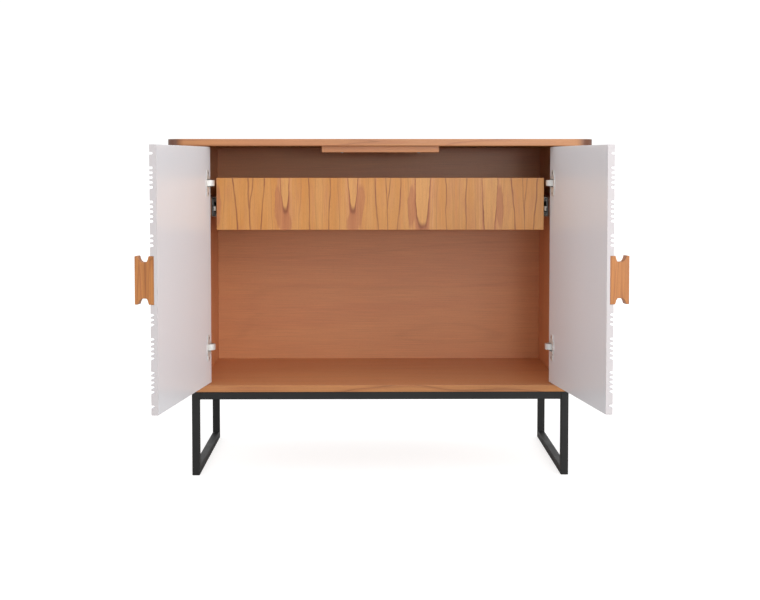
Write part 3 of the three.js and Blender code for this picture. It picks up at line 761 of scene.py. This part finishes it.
def build_base():
    for side, sign in SIDES.items():
        tube(f"{side}_top_rail", "Y", Vector((0, 0, 1)))
        tube(f"{side}_floor_rail", "Y", Vector((0, 0, -1)))
        tube(f"{side}_front_leg", "Z", Vector((0, -1, 0)))
        tube(f"{side}_back_leg", "Z", Vector((0, 1, 0)))
        for rail in ("front_rail", "back_rail"):
            weld(side, sign, rail)
        for end in ("front", "back"):
            screw_from_below(f"{side}_{end}_base_screw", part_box(f"{side}_top_rail")[0].z, BASE_HEAD, 0.3)
    tube("front_rail", "X", None)
    tube("back_rail", "X", None)


# ---- doors
CASE_INNER_HALF = 428 * MM  # half the distance between the side panels
DOOR_WIDTH, DOOR_THICK = 424.5 * MM, 15 * MM
PIVOT_INSET, PIVOT_DEPTH = 17 * MM, 6 * MM
DOOR_X = (-PIVOT_INSET, DOOR_WIDTH - PIVOT_INSET)
DOOR_Y = (PIVOT_DEPTH - DOOR_THICK, PIVOT_DEPTH)
HINGE_STILE = 46 * MM
HANDLE_SIZE = (24 * MM, 41 * MM, 100 * MM)
HANDLE_POCKET = 8 * MM
FLUTES_PER_BAND = 5
FLUTE_PITCHES = 56  # in the door's height; the next three are in pitches from its middle
FLUTE_BAND_PERIOD, FLUTE_FIRST = 7, 5.2
FLUTES_BETWEEN = (6.5, 27)
FLUTE_HALF, FLUTE_DEPTH, FLUTE_LIP = 2.8 * MM, 7.5 * MM, 0.7 * MM
FLUTE_RUN_OUT = 9 * MM
HINGE_EDGE_ROUND = 2 * MM
FIT = 0.3 * MM  # play between pieces let into each other
door_z = (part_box("left_door_panel")[0].z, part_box("left_door_panel")[1].z)
door_middle = sum(door_z) / 2


def door_place(side):
    """Where a door's own axes, which start at its pivot with the door shut, are at rest."""
    joint = joints[f"{side}_door_hinge"]
    turn = joint["axis"][2] * math.radians(-joint["range_deg"][0])
    x, y, _ = joint["pos_m"]
    return Matrix.Translation((x, y, 0)) @ Matrix.Rotation(turn, 4, "Z")


def flute_centres():
    """The grooves' heights: bands of grooves a pitch apart, the same above the middle and below."""
    pitch = (door_z[1] - door_z[0]) / FLUTE_PITCHES
    places = [FLUTE_FIRST + band * FLUTE_BAND_PERIOD + k
              for band in range(4) for k in range(FLUTES_PER_BAND)]
    kept = [place for place in places if FLUTES_BETWEEN[0] < place < FLUTES_BETWEEN[1]]
    return sorted(door_middle + sign * place * pitch for place in kept for sign in (-1, 1))


def flute_section():
    """One groove's section from its lower lip to its upper one: heights from its centre, and depths."""
    lip = [(-FLUTE_HALF - FLUTE_LIP * (1 - math.sin(t)), FLUTE_LIP * (1 - math.cos(t)))
           for t in (k * math.pi / 6 for k in range(4))]
    bottom = FLUTE_DEPTH - FLUTE_HALF
    bowl = [(-FLUTE_HALF * math.cos(t), bottom + FLUTE_HALF * math.sin(t))
            for t in (k * math.pi / 12 for k in range(13))]
    return lip + bowl + [(-z, d) for z, d in reversed(lip)]


def door_slab():
    """The door as a row of stations from its hinge edge to its free edge. Each has the same heights,
    with the grooves run out gently at the stile and the handle's pocket let in at the end."""
    section = flute_section()
    low, high = door_z
    outer, inner = DOOR_Y
    chamfer, soft = 1 * MM, 0.35 * MM
    pocket = HANDLE_SIZE[2] / 2 + FIT
    column = [("rim", low + soft, soft), ("rim", low + chamfer, 0)]
    items = [("flute", z) for z in flute_centres()]
    items += [("pocket", door_middle - pocket), ("pocket", door_middle + pocket)]
    for kind, z in sorted(items, key=lambda item: item[1]):
        if kind == "flute":
            column += [("flute", z + dz, depth) for dz, depth in section]
        else:
            flip = 1 if z < door_middle else -1
            pair = [("flat", z, 0), ("pocket", z, HANDLE_POCKET)]
            column += pair[::flip]
    column += [("rim", high - chamfer, 0), ("rim", high - soft, soft)]
    cut = 0.3 * MM
    back = [(outer + chamfer, high), (inner - chamfer, high), (inner - cut, high - cut),
            (inner, high - chamfer)]
    back += [(y, low + high - z) for y, z in reversed(back)]

    def station(x, flutes, let_in, sink):
        """The section at x, with its grooves and pocket at a share of their depth, and its outer
        face set back by sink."""
        share = {"flute": flutes, "pocket": let_in}
        front = [(outer + max(depth * share.get(kind, 1), sink), z) for kind, z, depth in column]
        return [Vector((x, y, z)) for y, z in front + back]

    stations = [station(DOOR_X[0] + HINGE_EDGE_ROUND * (1 - math.sin(t)), 0, 0,
                        HINGE_EDGE_ROUND * (1 - math.cos(t))) for t in reversed(quarter_turn(4))]
    stile = DOOR_X[0] + HINGE_STILE
    stations += [station(stile + FLUTE_RUN_OUT * k / 6, math.sin(t), 0, 0)
                 for k, t in enumerate(quarter_turn(6))]
    wall = DOOR_X[1] - HANDLE_SIZE[0] - FIT
    stations += [station(wall, 1, 0, 0), station(wall, 1, 1, 0)]
    stations += [station(DOOR_X[1] - 0.5 * MM, 1, 1, 0), station(DOOR_X[1], 1, 1, 0.5 * MM)]
    bm = skin(stations)
    bmesh.ops.remove_doubles(bm, verts=bm.verts, dist=1e-7)
    bmesh.ops.dissolve_degenerate(bm, edges=bm.edges, dist=1e-7)
    bmesh.ops.recalc_face_normals(bm, faces=bm.faces)
    return bm


def hinge_heights():
    return {level: sum(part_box(f"left_{level}_hinge_cup")[k].z for k in (0, 1)) / 2 for level in LEVELS}


CUP_X, CUP_RADIUS, CUP_DEPTH = 4 * MM, 17.5 * MM, 11.5 * MM
CUP_SCREW_X, CUP_SCREW_RISE = 6 * MM, 24 * MM


def rod(radius, place, span, axis, segments):
    """A plain round cutter along an axis, moved by place."""
    bm = prism(circle(radius, segments), span, axis, 0)
    bm.transform(Matrix.Translation(place))
    return bm


def bezier_point(points, t):
    a, b, c, d = points
    return a * (1 - t) ** 3 + b * 3 * t * (1 - t) ** 2 + c * 3 * t * t * (1 - t) + d * t ** 3


def bezier_height(points, place):
    """A bezier's second coordinate where its first, which only grows or only shrinks, is place."""
    low, high = 0.0, 1.0
    rising = points[3].x > points[0].x
    for _ in range(30):
        mid = (low + high) / 2
        if (bezier_point(points, mid).x < place) == rising:
            low = mid
        else:
            high = mid
    return bezier_point(points, (low + high) / 2).y


# The handle's profile, by distance behind its front
NOTCH_START, WAIST_START, WAIST_END, NOTCH_END = 5.5 * MM, 17 * MM, 23 * MM, 30 * MM
GROOVE_END = 31 * MM
WAIST_DEPTH = 12.5 * MM
VALLEY_MIDDLE, VALLEY_HALF, VALLEY_DEPTH = 16 * MM, 15.5 * MM, 2 * MM
HANDLE_STEP, HANDLE_ROUND = 0.55 * MM, 1.2 * MM
FRONT_NOTCH = [Vector(p) * MM for p in ((5.5, 0), (8, 3), (9, 12.5), (17, 12.5))]
BACK_NOTCH = [Vector(p) * MM for p in ((23, 12.5), (27.5, 12.5), (28, 4), (30, 0))]
FINGER_GROOVE = [Vector(p) * MM for p in ((31, 0), (28, 8), (8, 8), (5.5, 0))]


def waist(d):
    """How far the handle's top and bottom are cut in at a distance behind its front."""
    if d <= NOTCH_START or d >= NOTCH_END:
        return 0
    if d < WAIST_START:
        return bezier_height(FRONT_NOTCH, d)
    return bezier_height(BACK_NOTCH, d) if d > WAIST_END else WAIST_DEPTH


def handle_mesh():
    """The handle is a stack of rounded rectangles from its front lip to its buried back. Its height is
    waisted above and below, and its sides have a shallow valley and a finger groove."""
    width, depth, height = HANDLE_SIZE
    front = DOOR_Y[0] + HANDLE_POCKET - FIT - depth
    near, far = DOOR_X[1], DOOR_X[1] - width

    def section(d):
        half = height / 2 - waist(d)
        finger = bezier_height(FINGER_GROOVE, d) if NOTCH_START < d < GROOVE_END else 0
        valley = max(0, VALLEY_DEPTH * (1 - abs(d - VALLEY_MIDDLE) / VALLEY_HALF)) if d < GROOVE_END else 0
        return far + finger, near - valley, half

    places = [k * HANDLE_STEP for k in range(3, int(depth / HANDLE_STEP) - 1)]
    places += [NOTCH_START, VALLEY_MIDDLE, WAIST_START, WAIST_END, NOTCH_END, GROOVE_END]
    places = sorted({round(p, 7) for p in places if HANDLE_ROUND < p < depth - 0.6 * MM})
    stations = [(HANDLE_ROUND * (1 - math.cos(t)), HANDLE_ROUND * (1 - math.sin(t)))
                for t in quarter_turn(4)]
    stations += [(d, 0) for d in places] + [(depth - 0.5 * MM, 0), (depth, 0.5 * MM)]
    rings = []
    for d, shrink in stations:
        x0, x1, half = section(d)
        box = rectangle((-half + shrink, x0 + shrink), (half - shrink, x1 - shrink))
        outline = fillet(box, max(1.3 * MM - shrink, 0.3 * MM), 3)
        rings.append([Vector((p.y, front + d, door_middle + p.x)) for p in outline])
    bm = skin(rings)
    bmesh.ops.recalc_face_normals(bm, faces=bm.faces)
    return bm


def sheet_metal(points, radii, span, axis, edge, steps=2):
    """A prism of an outline and its corners' radii, both given in millimetres."""
    return prism(fillet(in_mm(points), [r * MM for r in radii], 4), span, axis, edge, steps)


def hinge_cup(z):
    """The pressed cup with its flange, hollowed out where the arm goes in, and its two screws."""
    face = DOOR_Y[1] + FIT
    lip = face + 1.6 * MM
    beyond = 1 * MM
    wing = [(-30.5, 1), (-16, 1), (-14, -1), (14, -1), (16, 1), (30.5, 1),
            (30.5, 17.5), (17, 17.5), (14.5, 21), (-14.5, 21), (-17, 17.5), (-30.5, 17.5)]
    flange = sheet_metal(wing, (3, 1, 1, 1, 1, 3, 3, 2, 2, 2, 2, 3), (face, lip), "Y", 0.5 * MM)
    profile = [(0, 0), (15.5, 0), (16.9, 0.5), (17.5, 2), (17.5, 11.5), (17.5, 13.2), (0, 13.2)]
    cup = lathe(in_mm(profile), (CUP_X, DOOR_Y[1] - CUP_DEPTH, 0), (0, 1, 0), 40)
    shell = carve(flange, cup, operation="UNION")
    mouth = rectangle((-9.5, -9.5), (9.5, 17.5))
    cavity = sheet_metal(mouth, (3, 3, 3, 3), (-4 * MM, lip + beyond), "Y", 0)
    rises = (-CUP_SCREW_RISE, CUP_SCREW_RISE)
    holes = [rod(2.6 * MM, (CUP_SCREW_X, 0, dz), (face - beyond, lip + beyond), "Y", 20) for dz in rises]
    bm = carve(shell, cavity, *holes)
    bm.transform(Matrix.Translation((0, 0, z)))
    heads = [screw_head((CUP_SCREW_X, DOOR_Y[1] + 1.9 * MM, z + dz), (0, 1, 0), FLUSH_HEAD, dz * 700)
             for dz in rises]
    return bm, joined(*heads)


# The arm's neck in millimetres from the pivot: across the case and into it
NECK = [(0, 0), (11.3, 4.3), (17, 11), (16.5, 19), (11, 28), (2, 34), (-10, 40)]


def smooth_path(points, steps=6):
    """A Catmull-Rom curve through the points."""
    guide = [Vector(p) for p in points]
    guide = [guide[0] * 2 - guide[1]] + guide + [guide[-1] * 2 - guide[-2]]
    path = []
    for a, b, c, d in zip(guide, guide[1:], guide[2:], guide[3:]):
        for k in range(steps):
            t = k / steps
            path.append(0.5 * (2 * b + (c - a) * t + (2 * a - 5 * b + 4 * c - d) * t * t
                               + (3 * b - a - 3 * c + d) * t ** 3))
    return path + [guide[-2]]


def ribbon(path, width):
    left, right = [], []
    for i, point in enumerate(path):
        tangent = (path[min(i + 1, len(path) - 1)] - path[max(i - 1, 0)]).normalized()
        side = Vector((-tangent.y, tangent.x)) * width / 2
        left.append(point + side)
        right.append(point - side)
    return right + left[::-1]


PLATE_THICKNESS = 3  # millimetres, as for the next two
ARM_SCREW_YS = (50, 73)
PLATE_SCREW_Y = 67


def hinge_arm(z, wall):
    """The cranked neck and the long body that is screwed down on the mounting plate, and the body's
    screws. wall is the side panel's distance from the pivot in millimetres."""
    half = 7.8 * MM
    path = [p * MM for p in smooth_path(NECK)]
    neck = prism(ribbon(path, 2.2 * MM), (0.9 * MM - half, half - 0.9 * MM), "Z", 0.4 * MM, 2)
    eye = prism(circle(3.2 * MM, 28), (-half, half), "Z", 0.4 * MM, 2)
    bore = prism(circle(1.8 * MM, 24), (-10 * MM, 10 * MM), "Z", 0)
    x = wall + PLATE_THICKNESS
    corners = [(x + 0.1, 38.3), (x + 11.7, 38.3), (x + 11.7, 82), (x + 5, 94.7), (x + 0.1, 94.7)]
    body = sheet_metal(corners, (1.3, 3, 5, 2, 1.3), (-half, half), "Z", 1.2 * MM, 3)
    merged = carve(neck, eye, body, operation="UNION")
    seat = (x + 9.9) * MM
    wells = [rod(3.4 * MM, (0, y * MM, 0), (seat, (x + 13) * MM), "X", 28) for y in ARM_SCREW_YS]
    bm = carve(merged, bore, *wells)
    bm.transform(Matrix.Translation((0, 0, z)))
    heads = [screw_head((seat, y * MM, z), (1, 0, 0), FLUSH_HEAD, 0.5 * y) for y in ARM_SCREW_YS]
    return bm, joined(*heads)


def hinge_plate(z, wall):
    """The cross-shaped mounting plate, and the screws in its wings."""
    points = [(44, -8), (58, -8), (58, -24), (76, -24), (76, -8), (90, -8)]
    points += [(y, -z) for y, z in reversed(points)]
    face = (wall + PLATE_THICKNESS) * MM
    bm = sheet_metal(points, (2, 1.5, 6, 6, 1.5, 2) * 2, (wall * MM, face), "X", 0.6 * MM)
    bm.transform(Matrix.Translation((0, 0, z)))
    heads = [screw_head((face, PLATE_SCREW_Y * MM, z + dz), (1, 0, 0), PLATE_HEAD, dz * 900)
             for dz in (-16 * MM, 16 * MM)]
    return bm, joined(*heads)


def door_panel_paint(face):
    """Paint for a door, in its own axes: 1 for its free edge and 0 for the rest."""
    return 1 if abs(face.calc_center_median().x) > DOOR_X[1] - 0.3 * MM else 0


def build_doors():
    heights = hinge_heights()
    for side, sign in SIDES.items():
        place = door_place(side)
        x, y, _ = joints[f"{side}_door_hinge"]["pos_m"]
        fixed = Matrix.Translation((x, y, 0))
        wall = (x * sign - CASE_INNER_HALF) / MM
        body = f"{side}_door"
        bore = (DOOR_Y[1] - CUP_DEPTH - FIT, DOOR_Y[1] + 5 * MM)
        bores = [rod(CUP_RADIUS + FIT, (CUP_X, 0, z), bore, "Y", 48) for z in heights.values()]
        piece(f"{side}_door_lacquered", carve(door_slab(), *bores), [WHITE, WHITE_EDGE], body, side=side,
              matrix=place, nodes=[f"{side}_door_panel"], sharp=32, paint=door_panel_paint)
        piece(f"{side}_handle_shaped", handle_mesh(), HANDLE, body, side=side, matrix=place,
              nodes=[f"{side}_handle"], grain=(2, 1), sharp=48)
        for level, z in heights.items():
            for part, finish, (bm, screws), rides_on, matrix in (
                    ("cup", "pressed", hinge_cup(z), body, place),
                    ("arm", "bent", hinge_arm(z, wall), "cabinet", fixed),
                    ("plate", "pressed", hinge_plate(z, wall), "cabinet", fixed)):
                name = f"{side}_{level}_hinge_{part}"
                piece(f"{name}_{finish}", bm, NICKEL, rides_on, side=side, matrix=matrix,
                      nodes=[name])
                piece(f"{name}_screws", screws, SCREW, rides_on, side=side, matrix=matrix)


# ---- drawer and runners
def build_drawer():
    board("drawer_front", 2, 0, (MATCHED, EDGE), face_and_edges(1), edge=0.7 * MM, body="drawer",
          loose_grain=False)
    for part, along, second, edge in (("left_side", 1, 2, 0.8), ("right_side", 1, 2, 0.8),
                                      ("back", 0, 2, 0.8), ("bottom", 0, 1, 0.3)):
        board(f"drawer_{part}", along, second, (DRAWER,), edge=edge * MM, body="drawer")


SHEET = 1.2 * MM  # the runners' steel
RUNNER_WALL_X = -0.3997  # the left batten's face, which the outer member is screwed to
# Each runner member's web and reach across the drawer, and half its height, in millimetres from there
OUTER, MIDDLE, INNER_MEMBER = (0, 10.7, 22.5), (2.6, 11, 18.4), (12.7, 5, 14.4)


def channel_outline(back, far, half):
    """A runner member's section in (Z, X), for the left: a channel of sheet with rounded bends, with
    its web at back and its two lips reaching to far."""
    opens_right = far > back
    inner = back + SHEET if opens_right else back - SHEET
    points = [(-half, back), (half, back), (half, far), (half - SHEET, far), (half - SHEET, inner),
              (SHEET - half, inner), (SHEET - half, far), (-half, far)]
    radii = [1.6 * MM] * 2 + [0.5 * MM] * 6
    if not opens_right:
        points, radii = points[::-1], radii[::-1]
    return fillet(points, radii, 3)


def runner(side, member, section, body):
    node = f"{side}_runner_{member}"
    low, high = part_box(node)
    outline = channel_outline(*[length * MM for length in section])
    bm = prism([(p.x, p.y) for p in outline], (low.y, high.y), "Y", 0.3 * MM, 1)
    bmesh.ops.recalc_face_normals(bm, faces=bm.faces)
    bm.transform(Matrix.Translation((RUNNER_WALL_X, 0, (low.z + high.z) / 2)))
    piece(f"{node}_rolled", bm, ZINC, body, side=side, nodes=[node])


def refinish(node, material):
    """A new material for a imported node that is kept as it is."""
    mesh = frame["nodes"][node].data
    mesh.materials.clear()
    mesh.materials.append(material)


def build_runners():
    for side in SIDES:
        runner(side, "outer", OUTER, "cabinet")
        runner(side, "middle", MIDDLE, f"{side}_runner_middle")
        runner(side, "inner", INNER_MEMBER, "drawer")
        low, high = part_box(f"{side}_runner_buffer")
        piece(f"{side}_runner_buffer_moulded", slab(low, high, 1 * MM, 3), BUFFER,
              f"{side}_runner_middle", nodes=[f"{side}_runner_buffer"])
        refinish(f"{side}_release_lever", LEVER)
        for level in LEVELS:
            refinish(f"{side}_{level}_hinge_pin", SCREW)


# ---- stage
AMBIENT = 0.82  # the world's light on the object
WHITE_BACKDROP = 1.05  # what the camera sees of the world
FLOOR_GLOW = 0.75  # how much the camera sees the floor shine, so that it joins the backdrop
FLOOR_HALF, FLOOR_DROP = 40, 0.2 * MM
# Each softbox: place, the point it faces, width and height, and power in watts
SOFTBOXES = {
    "key": ((1.0, -5.0, 1.75), (0, 0, 0.5), (1.3, 2.6), 42),
    "low_fill": ((0.6, -5.0, 0.88), (0, 0, 0.6), (1.8, 0.16), 13),
    "left_softbox": ((-4.0, -1.6, 1.2), (0, 0, 0.5), (1.0, 1.6), 12),
    "side_softbox": ((3.0, -2.7, 1.4), (0, 0, 0.5), (2.4, 1.9), 50),
}
# The camera as fitted to the photo's outlines
CAMERA_PLACE = (-0.0319, -3.1620, 0.7367)
CAMERA_TILT_DOWN, CAMERA_TURN = 2.94, -0.5625  # degrees
CAMERA_LENS, CAMERA_SENSOR, CAMERA_SHIFT_Y = 63.552, 36, -0.09


def area_light(name, place, target, size, power):
    data = bpy.data.lights.new(name, "AREA")
    data.shape = "RECTANGLE"
    data.size, data.size_y = size
    data.energy = power
    light = linked(name, data)
    light.location = place
    light.rotation_euler = (Vector(target) - Vector(place)).to_track_quat("-Z", "Y").to_euler()


def build_floor():
    mesh = bpy.data.meshes.new("floor")
    bm = bmesh.new()
    bmesh.ops.create_grid(bm, x_segments=1, y_segments=1, size=FLOOR_HALF)
    bm.to_mesh(mesh)
    bm.free()
    floor = linked("floor", mesh)
    floor.location.z = -FLOOR_DROP
    s = Shader("studio_floor", Specular_IOR_Level=0.1, Emission_Color=(1, 1, 1, 1))
    seen = s.node("LightPath", {}, "Is Camera Ray")
    s.feed(s.bsdf.inputs["Emission Strength"], s.times(seen, FLOOR_GLOW))
    cloud = s.noise(s.per(s.position(), 1.5))
    fine = s.noise(s.per(s.position(), 0.004))
    shade = s.mix(cloud, (0.48, 0.48, 0.48, 1), (0.52, 0.52, 0.515, 1))
    mesh.materials.append(s.done(shade, s.fit(cloud, 0, 1, 0.75, 0.85), s.bump(fine, 0.05 * MM)))


def build_world():
    """White for the camera, and a softer white for everything else."""
    world = bpy.data.worlds.new("studio")
    world.use_nodes = True
    nodes, links = world.node_tree.nodes, world.node_tree.links
    ambient, backdrop = nodes["Background"], nodes.new("ShaderNodeBackground")
    for background, strength in ((ambient, AMBIENT), (backdrop, WHITE_BACKDROP)):
        background.inputs["Color"].default_value = (1, 1, 1, 1)
        background.inputs["Strength"].default_value = strength
    mix = nodes.new("ShaderNodeMixShader")
    links.new(nodes.new("ShaderNodeLightPath").outputs["Is Camera Ray"], mix.inputs[0])
    links.new(ambient.outputs[0], mix.inputs[1])
    links.new(backdrop.outputs[0], mix.inputs[2])
    links.new(mix.outputs[0], nodes["World Output"].inputs["Surface"])
    bpy.context.scene.world = world


def build_stage():
    build_floor()
    build_world()
    for name, (place, target, size, power) in SOFTBOXES.items():
        area_light(name, place, target, size, power)
    data = bpy.data.cameras.new("camera")
    data.lens, data.sensor_width = CAMERA_LENS, CAMERA_SENSOR
    data.shift_y = CAMERA_SHIFT_Y
    data.dof.use_dof = False
    camera = linked("camera", data)
    camera.location = CAMERA_PLACE
    camera.rotation_euler = (math.radians(90 - CAMERA_TILT_DOWN), 0, math.radians(CAMERA_TURN))
    bpy.context.scene.camera = camera
    bpy.context.scene.view_settings.view_transform = "Standard"


build_case()
build_base()
build_doors()
build_drawer()
build_runners()
build_stage()
for mesh in HEADS.values():
    mesh.free()
